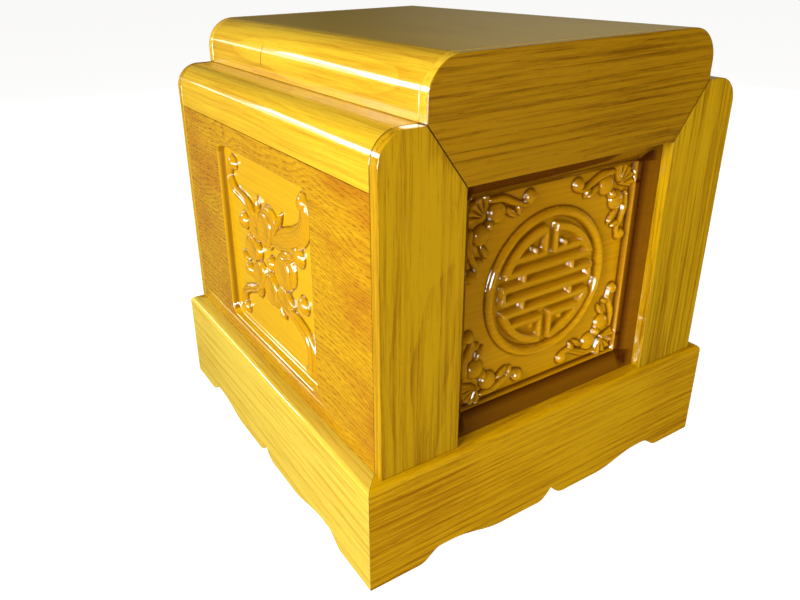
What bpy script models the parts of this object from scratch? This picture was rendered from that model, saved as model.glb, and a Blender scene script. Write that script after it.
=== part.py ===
"""Cremation urn box: carved wooden box on a scalloped plinth, with a lift-off lid.

Metres, +Z up. The end with the roundel faces -Y, and the origin is on the floor, under the box's centre.
A carved board is drawn as its viewer sees it: U runs to the viewer's right, V is the height, and a relief
height counts outward from the ground of the carved field.
"""
import math

import bmesh
import bpy
from mathutils import Matrix, Vector

MM = 0.001
TOUCH_GAP = 0.3 * MM
WELD = 0.01 * MM
CUT_PROUD = 1 * MM

# Driving sizes
BODY_WIDTH = 400 * MM
BODY_LENGTH = 427.4 * MM
TOTAL_HEIGHT = 449 * MM

# Plinth
PLINTH_HEIGHT = 110 * MM
PLINTH_BOARD = 18 * MM
PLINTH_SIDE_LEDGE = 16 * MM
PLINTH_END_LEDGE = 5.3 * MM
PLINTH_ROUND = 6 * MM
FOOT_LENGTH = 53 * MM
SCALLOP_RISE = 12 * MM
SCALLOP_SHORT = 24 * MM
SCALLOP_FLAT = 12 * MM
SCALLOP_LONG = 62 * MM
LOBE_CLEARANCE = 1.5 * MM
CUSP_RISE = 14 * MM
CUSP_HALF = 18 * MM
SCALLOP_STEPS = 6

# Boards of the body
SIDE_BOARD = 18 * MM
END_BOARD = 26 * MM
FLOOR_BOARD = 18 * MM
POST_WIDTH = 80.3 * MM
POST_THICKNESS = 10.7 * MM
SHOULDER_HEIGHT = 402 * MM
SHOULDER_JOINT = 357 * MM
SHOULDER_ROUND = 25 * MM
RAIL_WIDTH = 60 * MM

# Lid
LID_SETBACK = 42 * MM
LID_ROUND = 31 * MM
LID_SIDE_WALL = 16 * MM
LID_TOP_WALL = 15 * MM
LID_END_BOTTOM = 350 * MM
ROUND_STEPS = 8

# Carved field of the end boards, inside a margin that slopes in from the posts
MARGIN_WIDTH = 19.2 * MM
MARGIN_DEPTH = 9.2 * MM
END_FIELD_DEPTH = 7 * MM
DISC_DEPTH = 2 * MM

# Carved field of the side boards
SIDE_FIELD_LENGTH = 208 * MM
SIDE_FIELD_MARGIN = 23.5 * MM
SIDE_FIELD_ROUND = 12 * MM
SIDE_FIELD_DEPTH = 7.5 * MM

# Relief: its height, how far its solids bite into the board, and how far a dome's middle sinks
RELIEF = 5 * MM
BITE = 2 * MM
SINK = 0.4 * MM

# Roundel, as distances from its centre
RING_RADIUS = 69.2 * MM
RING_HALF = 3.8 * MM
RIM_RADIUS = 55.5 * MM
RIM_HALF = 3.4 * MM
RIM_START = 20.5
RIM_END = 84
BAR_WIDTH = 6 * MM
BAR_PITCH = 13 * MM
TIE_WIDTH = 3.5 * MM
TIE_PLACE = 30 * MM
TIE_OVERLAP = 1.2 * MM
HOOK_PLACE = 16.5 * MM
HOOK_LENGTH = 6.6 * MM
SLOT_HALF = 4.5 * MM
STROKE_REACH = 52 * MM
OUTER_BAR_REACH = 43.3 * MM
OFFSET = 0.1 * MM

# Derived levels and half sizes
BODY_X = BODY_WIDTH / 2
BODY_Y = BODY_LENGTH / 2
PLINTH_X = BODY_X + PLINTH_SIDE_LEDGE
PLINTH_Y = BODY_Y + PLINTH_END_LEDGE
BOARD_Y = BODY_Y - POST_THICKNESS
BOARD_BOTTOM = PLINTH_HEIGHT + TOUCH_GAP
LID_X = BODY_X - LID_SETBACK
RAIL_X = BODY_X - RAIL_WIDTH
POST_X = BODY_X - POST_WIDTH
END_FACE = BOARD_Y - TOUCH_GAP
END_GROUND = END_FACE - MARGIN_DEPTH - END_FIELD_DEPTH
END_FIELD_V = (PLINTH_HEIGHT + LID_END_BOTTOM) / 2
END_FIELD_HALF_U = POST_X - MARGIN_WIDTH
END_FIELD_HALF_V = END_FIELD_V - PLINTH_HEIGHT - MARGIN_WIDTH
SIDE_GROUND = BODY_X - SIDE_FIELD_DEPTH
SIDE_FIELD_V = (PLINTH_HEIGHT + SHOULDER_JOINT) / 2
SIDE_FIELD_HALF_U = SIDE_FIELD_LENGTH / 2
SIDE_FIELD_HALF_V = SIDE_FIELD_V - PLINTH_HEIGHT - SIDE_FIELD_MARGIN
ROOT = DISC_DEPTH + BITE

# Where each carved board's viewer stands: the front one looks along +Y
FRONT = Matrix.Identity(4)
BACK = Matrix.Rotation(math.pi, 4, "Z")
LEFT = Matrix.Rotation(-math.pi / 2, 4, "Z")
RIGHT = Matrix.Rotation(math.pi / 2, 4, "Z")


def clear_scene():
    for thing in list(bpy.data.objects):
        bpy.data.objects.remove(thing)


def collection(name, parent=None):
    made = bpy.data.collections.new(name)
    (parent or bpy.context.scene.collection).children.link(made)
    return made


def lacquered_wood(name, colour, roughness=0.25):
    """A Principled material of one wood colour under clear lacquer."""
    material = bpy.data.materials.new(name)
    material.use_nodes = True
    material.diffuse_color = (*colour, 1)
    shader = material.node_tree.nodes["Principled BSDF"]
    shader.inputs["Base Color"].default_value = (*colour, 1)
    shader.inputs["Roughness"].default_value = roughness
    shader.inputs["Metallic"].default_value = 0
    return material


def arc(centre_u, centre_v, radius, start, end, steps=ROUND_STEPS):
    """Points on a circle from one angle to another, in degrees."""
    angles = [math.radians(start + (end - start) * step / steps) for step in range(steps + 1)]
    return [(centre_u + radius * math.cos(a), centre_v + radius * math.sin(a)) for a in angles]


def mirrored(points):
    """The points, followed by their mirror images in reverse order."""
    return points + [(-u, v) for u, v in reversed(points)]


def smooth_path(points, steps):
    """Points along a Catmull-Rom curve through the given ones, steps to each stretch."""
    first = [2 * a - b for a, b in zip(points[0], points[1])]
    last = [2 * a - b for a, b in zip(points[-1], points[-2])]
    knots = [first, *points, last]
    path = []
    for before, start, end, after in zip(knots, knots[1:], knots[2:], knots[3:]):
        for step in range(steps):
            t = step / steps
            path.append(tuple(
                0.5 * (2 * b + (c - a) * t + (2 * a - 5 * b + 4 * c - d) * t**2
                       + (3 * b - a - 3 * c + d) * t**3)
                for a, b, c, d in zip(before, start, end, after)))
    return path + [tuple(points[-1])]


def baked_curve(name, curve):
    """The curve's solid as a mesh with welded caps and whole flat faces."""
    holder = bpy.data.objects.new(name, curve)
    bpy.context.scene.collection.objects.link(holder)
    evaluated = holder.evaluated_get(bpy.context.evaluated_depsgraph_get())
    mesh = bpy.data.meshes.new_from_object(evaluated)
    bpy.data.objects.remove(holder)
    work = bmesh.new()
    work.from_mesh(mesh)
    bmesh.ops.remove_doubles(work, verts=work.verts, dist=WELD)
    bmesh.ops.dissolve_limit(work, angle_limit=math.radians(0.5), verts=work.verts, edges=work.edges)
    bmesh.ops.recalc_face_normals(work, faces=work.faces)
    work.to_mesh(mesh)
    work.free()
    mesh.name = name
    return mesh


def extruded(name, outline, near, far):
    """An outline in U and V, extruded along Y from near to far."""
    curve = bpy.data.curves.new(name, "CURVE")
    curve.dimensions = "2D"
    curve.fill_mode = "BOTH"
    curve.extrude = (far - near) / 2
    spline = curve.splines.new("POLY")
    spline.points.add(len(outline) - 1)
    for point, (u, v) in zip(spline.points, outline):
        point.co = (u, v, 0, 1)
    spline.use_cyclic_u = True
    mesh = baked_curve(name, curve)
    mesh.transform(Matrix.Translation((0, (near + far) / 2, 0)) @ Matrix.Rotation(math.pi / 2, 4, "X"))
    return mesh


def primitive(name, build, transform):
    """A mesh made by one bmesh operator and then transformed."""
    work = bmesh.new()
    build(work)
    mesh = bpy.data.meshes.new(name)
    work.to_mesh(mesh)
    work.free()
    mesh.transform(transform)
    return mesh


def block(name, low, high):
    """A box between two opposite corners."""
    low = Vector(low)
    high = Vector(high)
    place = Matrix.Translation((low + high) / 2) @ Matrix.Diagonal((*(high - low), 1))
    return primitive(name, lambda work: bmesh.ops.create_cube(work, size=1), place)


def add(name, mesh, group, material=None, turn=FRONT):
    """An object of the mesh, turned to its side of the box."""
    mesh.transform(turn)
    made = bpy.data.objects.new(name, mesh)
    group.objects.link(made)
    if material:
        mesh.materials.clear()
        mesh.materials.append(material)
    else:
        made.display_type = "WIRE"
        made.hide_render = True
    return made


def boolean(target, operation, other):
    """An exact Boolean with one object, or with every object of a collection."""
    modifier = target.modifiers.new(f"{operation.lower()} {other.name}", "BOOLEAN")
    modifier.operation = operation
    modifier.solver = "EXACT"
    if isinstance(other, bpy.types.Collection):
        modifier.operand_type = "COLLECTION"
        modifier.collection = other
    else:
        modifier.object = other


def round_long_edge(mesh, radius, outer, height):
    """Rounds over the edge at the top of a board's outer face."""
    work = bmesh.new()
    work.from_mesh(mesh)
    corner = Vector((outer, height))
    edges = [e for e in work.edges if all((v.co.yz - corner).length < TOUCH_GAP for v in e.verts)]
    bmesh.ops.bevel(work, geom=edges, offset=radius, offset_type="OFFSET", segments=4, profile=0.5,
                    affect="EDGES")
    work.to_mesh(mesh)
    work.free()


def cut_off(work, point, normal):
    """Cuts away what lies beyond a plane, and closes the cut."""
    cut = bmesh.ops.bisect_plane(work, geom=[*work.verts, *work.edges, *work.faces], dist=WELD,
                                 plane_co=point, plane_no=normal, clear_outer=True)
    edges = [item for item in cut["geom_cut"] if isinstance(item, bmesh.types.BMEdge)]
    bmesh.ops.holes_fill(work, edges=edges, sides=0)
    bmesh.ops.recalc_face_normals(work, faces=work.faces)


def cut_mitres(mesh, half_length, outer):
    """Cuts both ends of a board at 45 degrees, half a gap short of the mitre plane."""
    work = bmesh.new()
    work.from_mesh(mesh)
    for end in (-1, 1):
        normal = Vector((end, 1, 0)).normalized()
        cut_off(work, Vector((end * half_length, outer, 0)) - normal * TOUCH_GAP / 2, normal)
    work.to_mesh(mesh)
    work.free()


def scalloped_edge(half_length):
    """The lower edge of a plinth board's right half, from its corner foot in to the cusp."""
    foot = half_length - FOOT_LENGTH
    crest_out = foot - SCALLOP_SHORT
    crest_in = crest_out - SCALLOP_FLAT
    lobe = crest_in - SCALLOP_LONG
    points = [(half_length, 0)]
    for step in range(SCALLOP_STEPS + 1):
        wave = (1 - math.cos(math.pi * step / SCALLOP_STEPS)) / 2
        points.append((foot + (crest_out - foot) * step / SCALLOP_STEPS, SCALLOP_RISE * wave))
    for step in range(SCALLOP_STEPS + 1):
        wave = (1 + math.cos(math.pi * step / SCALLOP_STEPS)) / 2
        u = crest_in + (lobe - crest_in) * step / SCALLOP_STEPS
        points.append((u, LOBE_CLEARANCE + (SCALLOP_RISE - LOBE_CLEARANCE) * wave))
    for step in range(SCALLOP_STEPS + 1):
        t = step / SCALLOP_STEPS
        points.append((CUSP_HALF * (1 - t), LOBE_CLEARANCE + (CUSP_RISE - LOBE_CLEARANCE) * t**2))
    return points


def plinth_board(name, half_length, outer, turn, group, material):
    right = scalloped_edge(half_length)
    left = [(-u, v) for u, v in reversed(right[:-1])]
    outline = [*right, *left, (-half_length, PLINTH_HEIGHT), (half_length, PLINTH_HEIGHT)]
    mesh = extruded(name, outline, -outer, PLINTH_BOARD - outer)
    round_long_edge(mesh, PLINTH_ROUND, -outer, PLINTH_HEIGHT)
    cut_mitres(mesh, half_length, -outer)
    add(name, mesh, group, material, turn)


def plinth(group):
    wood = lacquered_wood("plinth wood", (0.56, 0.30, 0.03))
    plinth_board("plinth_board_front", PLINTH_X, PLINTH_Y, FRONT, group, wood)
    plinth_board("plinth_board_back", PLINTH_X, PLINTH_Y, BACK, group, wood)
    plinth_board("plinth_board_left", PLINTH_Y, PLINTH_X, LEFT, group, wood)
    plinth_board("plinth_board_right", PLINTH_Y, PLINTH_X, RIGHT, group, wood)


def floor_board(group):
    half_x = PLINTH_X - PLINTH_BOARD - TOUCH_GAP
    half_y = PLINTH_Y - PLINTH_BOARD - TOUCH_GAP
    mesh = block("floor_board", (-half_x, -half_y, PLINTH_HEIGHT - FLOOR_BOARD),
                 (half_x, half_y, PLINTH_HEIGHT))
    add("floor_board", mesh, group, lacquered_wood("floor wood", (0.36, 0.20, 0.05), 0.5))


def posts(group):
    """Four applied posts, whose heads take the slope of the lid's end boards."""
    wood = lacquered_wood("post wood", (0.45, 0.27, 0.02))
    outline = [(BODY_X, PLINTH_HEIGHT + TOUCH_GAP)]
    outline += arc(BODY_X - SHOULDER_ROUND, SHOULDER_HEIGHT - SHOULDER_ROUND, SHOULDER_ROUND, 0, 90)
    outline += [(LID_X, SHOULDER_HEIGHT), (POST_X, LID_END_BOTTOM), (POST_X, BOARD_BOTTOM)]
    flipped = [(-u, v) for u, v in reversed(outline)]
    for end, turn in (("front", FRONT), ("back", BACK)):
        for side, shape in (("left", flipped), ("right", outline)):
            name = f"post_{end}_{side}"
            add(name, extruded(name, shape, -BODY_Y, -BOARD_Y), group, wood, turn)


def shoulder_rails(group):
    wood = lacquered_wood("shoulder wood", (0.60, 0.36, 0.03))
    low = SHOULDER_JOINT + TOUCH_GAP
    outline = [(RAIL_X, low), (BODY_X, low)]
    outline += arc(BODY_X - SHOULDER_ROUND, SHOULDER_HEIGHT - SHOULDER_ROUND, SHOULDER_ROUND, 0, 90)
    outline += [(RAIL_X, SHOULDER_HEIGHT)]
    for side, turn in (("left", BACK), ("right", FRONT)):
        name = f"shoulder_rail_{side}"
        add(name, extruded(name, outline, TOUCH_GAP - BOARD_Y, BOARD_Y - TOUCH_GAP), group, wood, turn)


def lid(group):
    shell_wood = lacquered_wood("lid wood", (0.58, 0.34, 0.03))
    end_wood = lacquered_wood("lid end wood", (0.45, 0.26, 0.02))
    rest = SHOULDER_HEIGHT + TOUCH_GAP
    crown = arc(LID_X - LID_ROUND, TOTAL_HEIGHT - LID_ROUND, LID_ROUND, 0, 90)
    inner = LID_X - LID_SIDE_WALL
    ceiling = TOTAL_HEIGHT - LID_TOP_WALL
    shell = mirrored([(inner, ceiling), (inner, rest), (LID_X, rest), *crown])
    add("lid_shell", extruded("lid_shell", shell, TOUCH_GAP - BOARD_Y, BOARD_Y - TOUCH_GAP), group,
        shell_wood)
    key = mirrored([(POST_X - TOUCH_GAP / 2, LID_END_BOTTOM + TOUCH_GAP), (LID_X, rest), *crown])
    for end, turn in (("front", FRONT), ("back", BACK)):
        name = f"lid_end_{end}"
        add(name, extruded(name, key, -BODY_Y, -BOARD_Y), group, end_wood, turn)


def lump(name, segments, rings, place, level):
    """The part of a stretched sphere that stands out of the root of the relief."""
    def cut_sphere(work):
        bmesh.ops.create_uvsphere(work, u_segments=segments, v_segments=rings, radius=1)
        bmesh.ops.transform(work, matrix=place, verts=work.verts)
        cut_off(work, (0, level + ROOT, 0), (0, 1, 0))

    return primitive(name, cut_sphere, Matrix.Identity(4))


def dome(name, u, v, radius_u, radius_v, height, level, segments=8):
    """A rounded lump with its pole outward, a little more than half sunk in the ground."""
    stretch = Matrix.Diagonal((radius_u, height + SINK, radius_v, 1))
    place = Matrix.Translation((u, level + SINK, v)) @ stretch @ Matrix.Rotation(math.pi / 2, 4, "X")
    return lump(name, segments, 4, place, level)


def leaf(name, u, v, angle, length, width, height, level, rings=4):
    """A ridged lens that points along an angle, in degrees from U."""
    turn = Matrix.Rotation(math.radians(90 - angle), 4, "Y")
    stretch = Matrix.Diagonal((width / 2, height + SINK, length / 2, 1))
    place = Matrix.Translation((u, level + SINK, v)) @ turn @ stretch
    return lump(name, 4, rings, place, level)


def stem(name, route, low, high, level, steps=2):
    """A rounded ridge along a route of (u, v, half width), from a low to a high relief height."""
    path = smooth_path(route, steps)
    widest = max(half for _, _, half in route)
    curve = bpy.data.curves.new(name, "CURVE")
    curve.dimensions = "3D"
    curve.bevel_depth = widest
    curve.bevel_resolution = 1
    curve.use_fill_caps = True
    spline = curve.splines.new("POLY")
    spline.points.add(len(path) - 1)
    for point, (u, v, half) in zip(spline.points, path):
        point.co = (u, v, 0, 1)
        point.radius = half / widest
    mesh = baked_curve(name, curve)
    stretch = Matrix.Diagonal((1, (high - low) / 2 / widest, 1, 1))
    mesh.transform(Matrix.Translation((0, level - (high + low) / 2, 0)) @ stretch
                   @ Matrix.Rotation(math.pi / 2, 4, "X"))
    return mesh


def roundel(centre_v, level):
    """Ring, rim and strokes of the round longevity pattern, as meshes."""
    pieces = []

    def stroke(u0, u1, v0, v1):
        for side in (-1, 1):
            low = (min(side * u0, side * u1), level - RELIEF, centre_v + v0)
            high = (max(side * u0, side * u1), level + ROOT, centre_v + v1)
            pieces.append(block("stroke", low, high))

    place = Matrix.Translation((0, level, centre_v)) @ Matrix.Diagonal((1, RELIEF / RING_HALF, 1, 1))
    pieces.append(primitive("ring", lambda work: torus(work, RING_RADIUS, RING_HALF), place))
    for quarter in range(4):
        start, end = (RIM_START, RIM_END) if quarter % 2 == 0 else (90 - RIM_END, 90 - RIM_START)
        points = arc(0, centre_v, RIM_RADIUS, start + 90 * quarter, end + 90 * quarter, 7)
        route = [(u, v, RIM_HALF) for u, v in points]
        pieces.append(stem("rim", route, -ROOT, RELIEF, level, 1))
    half = BAR_WIDTH / 2
    for sign in (-1, 1):
        inner = sign * BAR_PITCH / 2
        middle = sign * BAR_PITCH * 3 / 2
        outer = sign * BAR_PITCH * 5 / 2
        for row, reach in ((inner, RIM_RADIUS), (middle, RIM_RADIUS - RIM_HALF)):
            low = (-reach, level - RELIEF, centre_v + row - half)
            high = (reach, level + ROOT, centre_v + row + half)
            pieces.append(block("bar", low, high))
        stroke(SLOT_HALF, OUTER_BAR_REACH, outer - half, outer + half)
        near, far = sorted((outer, sign * STROKE_REACH))
        stroke(SLOT_HALF + OFFSET, SLOT_HALF + TIE_WIDTH, near, far)
        edge = sign * (half - TIE_OVERLAP)
        low, high = sorted((inner + edge, middle - edge))
        stroke(TIE_PLACE - TIE_WIDTH / 2, TIE_PLACE + TIE_WIDTH / 2, low, high)
        low, high = sorted((outer, outer + sign * HOOK_LENGTH))
        stroke(HOOK_PLACE, HOOK_PLACE + TIE_WIDTH, low, high)
    stroke(RIM_RADIUS - TIE_WIDTH, RIM_RADIUS - OFFSET, -BAR_PITCH / 2, BAR_PITCH / 2)
    return pieces


def torus(work, major, minor):
    """A ring around Y, spun from a small circle."""
    circle = bmesh.ops.create_circle(work, segments=6, radius=minor)
    bmesh.ops.translate(work, verts=circle["verts"], vec=(major, 0, 0))
    bmesh.ops.spin(work, geom=work.edges[:], cent=(0, 0, 0), axis=(0, 1, 0), angle=2 * math.pi,
                   steps=36, use_merge=True)
    bmesh.ops.remove_doubles(work, verts=work.verts, dist=WELD)
    bmesh.ops.recalc_face_normals(work, faces=work.faces)


def corner_spray(side_u, side_v, centre_v, level):
    """Shell, two berries, a bead, leaves and two curled stems, laid out in mm from the field's corner."""
    def at(u, v):
        return side_u * (END_FIELD_HALF_U - u * MM), centre_v + side_v * (END_FIELD_HALF_V - v * MM)

    def heading(angle):
        direction = math.radians(angle)
        return math.degrees(math.atan2(side_v * math.sin(direction), side_u * math.cos(direction)))

    pieces = []
    for angle, height in ((1, 5.6), (23, 4.6), (46, 5.8), (68, 4.7), (91, 5.4)):
        direction = math.radians(angle)
        u, v = at(19.5 - 10 * math.cos(direction), 19.5 - 10 * math.sin(direction))
        pieces.append(leaf("shell rib", u, v, heading(angle), 16 * MM, 6 * MM, height * MM, level, 2))
    for u, v, radius, height in ((34.5, 18.5, 9.5, 6.5), (18.5, 35.5, 9.5, 6.5), (26.1, 28, 4.7, 7),
                                 (71.5, 11.5, 6.5, 6.5), (8.5, 71.5, 6, 6.5)):
        pieces.append(dome("berry", *at(u, v), radius * MM, radius * MM, height * MM, level))
    for u, v, angle, length in ((50.5, 21.5, 215, 17), (59.5, 20.5, 250, 12), (22.5, 51.5, 235, 17),
                                (16.5, 59.5, 200, 12)):
        pieces.append(leaf("leaf", *at(u, v), heading(angle), length * MM, 5.5 * MM, 5 * MM, level))
    for route in (
            ((26.5, 6.5, 2.4), (40.5, 7.5, 3.2), (54.5, 13.5, 2.8), (64.5, 17.5, 2.4), (72.5, 16.5, 2)),
            ((6.5, 30.5, 2.2), (5.5, 44.5, 3), (9.5, 55.5, 2.6), (13.5, 63.5, 2.4), (12.5, 71.5, 2))):
        points = [(*at(u, v), half * MM) for u, v, half in route]
        pieces.append(stem("curled stem", points, -ROOT, 4.5 * MM, level))
    return pieces


def flower_spray(centre_v, level):
    """A broad blossom with a scroll to each corner, drawn on a grid of 104 by 100 units to a quarter."""
    def at(u, v):
        return u * SIDE_FIELD_HALF_U / 104, centre_v + v * SIDE_FIELD_HALF_V / 100

    pieces = []
    for u, v, radius_u, radius_v, height in (
            (5, 38, 19, 17, 4.6), (37, 4, 19, 19, 4.4), (-5, 31, 16, 17, 6), (29, -3, 20, 19, 6.2),
            (-40, 0, 18, 15, 5.8), (-1, -34, 18, 18, 6), (-3, 1, 9, 9, 7)):
        pieces.append(dome("petal", *at(u, v), radius_u * MM, radius_v * MM, height * MM, level, 12))
    for u, v, radius in ((-58, 25, 9.5), (64, 27, 10), (-53, -29, 7.5), (67, -22, 8), (-76, 84, 7),
                         (77, 83, 8.5), (80, -86, 7.5), (-72, -82, 7.5)):
        pieces.append(dome("bud", *at(u, v), radius * MM, radius * MM, 6.4 * MM, level))
    for u, v, angle, length in ((-24, 53, 100, 17), (29, 53, 62, 27), (-60, -15, 160, 17),
                                (42, -28, -20, 20), (-26, -50, 235, 17), (22, -50, 300, 17)):
        pieces.append(leaf("leaf", *at(u, v), angle, length * MM, 6.5 * MM, 5 * MM, level))
    for route in (((-26, 30, 3), (-38, 45, 4.2), (-58, 51, 5), (-76, 55, 5.5), (-86, 68, 4.5), (-80, 82, 4)),
                  ((12, 24, 4), (36, 29, 5.5), (58, 38, 6.5), (76, 50, 7.5), (86, 66, 7), (80, 82, 6)),
                  ((24, -36, 3), (46, -42, 4), (66, -46, 5.5), (82, -58, 6), (86, -72, 5.5), (82, -86, 5)),
                  ((-22, -38, 3), (-42, -48, 3.6), (-60, -55, 4), (-74, -64, 4.4), (-76, -80, 4))):
        points = [(*at(u, v), half * MM) for u, v, half in route]
        pieces.append(stem("scroll", points, -ROOT, 5.5 * MM, level))
    return pieces


def sunk_margin(name):
    """The cutter of an end board: a margin sloping in to a square field, and the field itself."""
    def dished_opening(work):
        bmesh.ops.create_cube(work, size=2)
        inner = max(work.faces, key=lambda face: face.calc_center_median().y)
        for vert in work.verts:
            spread = 0 if vert in inner.verts else MARGIN_WIDTH * (MARGIN_DEPTH + CUT_PROUD) / MARGIN_DEPTH
            vert.co.x *= END_FIELD_HALF_U + spread
            vert.co.y = -END_FACE + MARGIN_DEPTH if vert in inner.verts else -END_FACE - CUT_PROUD
            vert.co.z = END_FIELD_V + vert.co.z * (END_FIELD_HALF_V + spread)
        field = bmesh.ops.extrude_face_region(work, geom=[inner])
        corners = [item for item in field["geom"] if isinstance(item, bmesh.types.BMVert)]
        bmesh.ops.translate(work, verts=corners, vec=(0, END_FIELD_DEPTH, 0))
        bmesh.ops.delete(work, geom=[inner], context="FACES")

    return primitive(name, dished_opening, Matrix.Identity(4))


def end_board(end, turn, group, cutters, spray):
    """One carved end board: notched for the rails, dished, sunk and given its relief."""
    name = f"end_board_{end}"
    half = BODY_X - SIDE_BOARD - TOUCH_GAP
    notch = RAIL_X - TOUCH_GAP
    outline = mirrored([(half, BOARD_BOTTOM), (half, SHOULDER_JOINT), (notch, SHOULDER_JOINT),
                        (notch, SHOULDER_HEIGHT)])
    mesh = extruded(name, outline, -END_FACE, END_BOARD - END_FACE)
    board = add(name, mesh, group, lacquered_wood(f"{end} panel wood", (0.30, 0.16, 0.02)), turn)
    boolean(board, "DIFFERENCE", add(f"{end} field", sunk_margin(f"{end} field"), cutters, turn=turn))
    disc = primitive(f"{end} disc", lambda work: bmesh.ops.create_cone(
        work, cap_ends=True, segments=48, radius1=RING_RADIUS, radius2=RING_RADIUS, depth=2 * DISC_DEPTH),
        Matrix.Translation((0, -END_GROUND, END_FIELD_V)) @ Matrix.Rotation(math.pi / 2, 4, "X"))
    boolean(board, "DIFFERENCE", add(f"{end} disc", disc, cutters, turn=turn))
    relief = collection(f"{end} relief", cutters)
    pieces = roundel(END_FIELD_V, -END_GROUND)
    if spray:
        for side_u in (-1, 1):
            for side_v in (-1, 1):
                pieces += corner_spray(side_u, side_v, END_FIELD_V, -END_GROUND)
    for piece in pieces:
        add(piece.name, piece, relief, turn=turn)
    boolean(board, "UNION", relief)


def side_board(side, turn, group, cutters):
    """One carved side board: a sunk field with round corners, and the flower in it."""
    name = f"side_board_{side}"
    half = BOARD_Y - TOUCH_GAP
    outline = [(-half, BOARD_BOTTOM), (half, BOARD_BOTTOM), (half, SHOULDER_JOINT), (-half, SHOULDER_JOINT)]
    mesh = extruded(name, outline, -BODY_X, SIDE_BOARD - BODY_X)
    board = add(name, mesh, group, lacquered_wood(f"{side} board wood", (0.50, 0.22, 0.01)), turn)
    centre_u = SIDE_FIELD_HALF_U - SIDE_FIELD_ROUND
    centre_v = SIDE_FIELD_HALF_V - SIDE_FIELD_ROUND
    corners = ((centre_u, centre_v, 0), (-centre_u, centre_v, 90), (-centre_u, -centre_v, 180),
               (centre_u, -centre_v, 270))
    field = []
    for u, v, start in corners:
        field += arc(u, SIDE_FIELD_V + v, SIDE_FIELD_ROUND, start, start + 90, 4)
    sunk = extruded(f"{side} field", field, -BODY_X - CUT_PROUD, -SIDE_GROUND)
    boolean(board, "DIFFERENCE", add(f"{side} field", sunk, cutters, turn=turn))
    relief = collection(f"{side} relief", cutters)
    for piece in flower_spray(SIDE_FIELD_V, -SIDE_GROUND):
        add(piece.name, piece, relief, turn=turn)
    boolean(board, "UNION", relief)


def main():
    clear_scene()
    group = collection("cremation urn box")
    cutters = collection("cutters")
    plinth(group)
    floor_board(group)
    posts(group)
    shoulder_rails(group)
    lid(group)
    end_board("front", FRONT, group, cutters, spray=True)
    end_board("back", BACK, group, cutters, spray=False)
    side_board("left", LEFT, group, cutters)
    side_board("right", RIGHT, group, cutters)


main()
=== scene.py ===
import math

import bmesh
import bpy
import numpy as np
from mathutils import Matrix, Vector


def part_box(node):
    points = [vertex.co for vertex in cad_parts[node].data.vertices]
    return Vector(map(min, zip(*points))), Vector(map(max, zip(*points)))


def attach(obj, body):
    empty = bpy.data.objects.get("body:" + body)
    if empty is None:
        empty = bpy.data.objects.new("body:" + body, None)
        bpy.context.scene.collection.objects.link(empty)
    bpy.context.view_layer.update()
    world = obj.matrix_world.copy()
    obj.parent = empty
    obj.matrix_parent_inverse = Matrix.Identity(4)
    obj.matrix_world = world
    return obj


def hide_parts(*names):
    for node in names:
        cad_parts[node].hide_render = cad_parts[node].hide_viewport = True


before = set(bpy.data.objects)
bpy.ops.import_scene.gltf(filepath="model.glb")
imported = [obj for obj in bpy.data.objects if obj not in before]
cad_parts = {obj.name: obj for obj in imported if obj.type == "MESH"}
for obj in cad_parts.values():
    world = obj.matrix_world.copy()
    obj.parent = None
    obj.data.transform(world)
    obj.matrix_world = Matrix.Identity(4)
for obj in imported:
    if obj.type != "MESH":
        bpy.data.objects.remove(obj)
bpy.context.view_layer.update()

# Looks of the carved and lacquered box. Boards are drawn as their viewer sees them, with U to the right and
# V up in mm, and turned to their side of the box. Everything else is in metres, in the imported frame.
MM = 0.001
GAP = 0.3 * MM

PLINTH_ROUND = 6 * MM
PLINTH_EASE = 0.8 * MM
SCALLOPS_TOP = 20 * MM
SHOULDER_ROUND = 25 * MM
LID_ROUND = 31 * MM
LID_SIDE_WALL = 16 * MM
LID_TOP_WALL = 15 * MM
EASE = 0.7 * MM

# Lacquer and growth rings of every board.
LACQUER = 0.9
RING_WIDTH = 5.8 * MM

# Cells across a carved field, the width of the field's upright wall in mm, the depth in mm at which the painted
# shade in a hollow is darkest, and how many times its surroundings are evened out to find it.
FIELD_CELLS = 278
FIELD_WALL = 0.15
HOLLOW_DEPTH = 0.7
HOLLOW_ROUNDS = 5

FRONT = Matrix.Identity(4)
BACK = Matrix.Rotation(math.pi, 4, "Z")
LEFT = Matrix.Rotation(-math.pi / 2, 4, "Z")
RIGHT = Matrix.Rotation(math.pi / 2, 4, "Z")


# Shader maths

class Value:
    """A shader socket whose sums add Math nodes."""

    def __init__(self, finish, socket):
        self.finish = finish
        self.socket = socket

    def maths(self, operation, *values):
        return self.finish.node("ShaderNodeMath", {"operation": operation}, dict(enumerate(values)))

    def __add__(self, other):
        return self.maths("ADD", self, other)

    def __radd__(self, other):
        return self.maths("ADD", other, self)

    def __sub__(self, other):
        return self.maths("SUBTRACT", self, other)

    def __rsub__(self, other):
        return self.maths("SUBTRACT", other, self)

    def __mul__(self, other):
        return self.maths("MULTIPLY", self, other)

    def __rmul__(self, other):
        return self.maths("MULTIPLY", other, self)

    def __truediv__(self, other):
        return self.maths("DIVIDE", self, other)

    def __pow__(self, other):
        return self.maths("POWER", self, other)

    def fraction(self):
        return self.maths("FRACT", self)

    def size(self):
        return self.maths("ABSOLUTE", self)

    def step(self, low, high):
        """0 below one value, 1 above the other, and smooth between them."""
        return self.finish.node(
            "ShaderNodeMapRange", {"interpolation_type": "SMOOTHSTEP"},
            {"Value": self, "From Min": low, "From Max": high, "To Min": 0, "To Max": 1})


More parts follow.
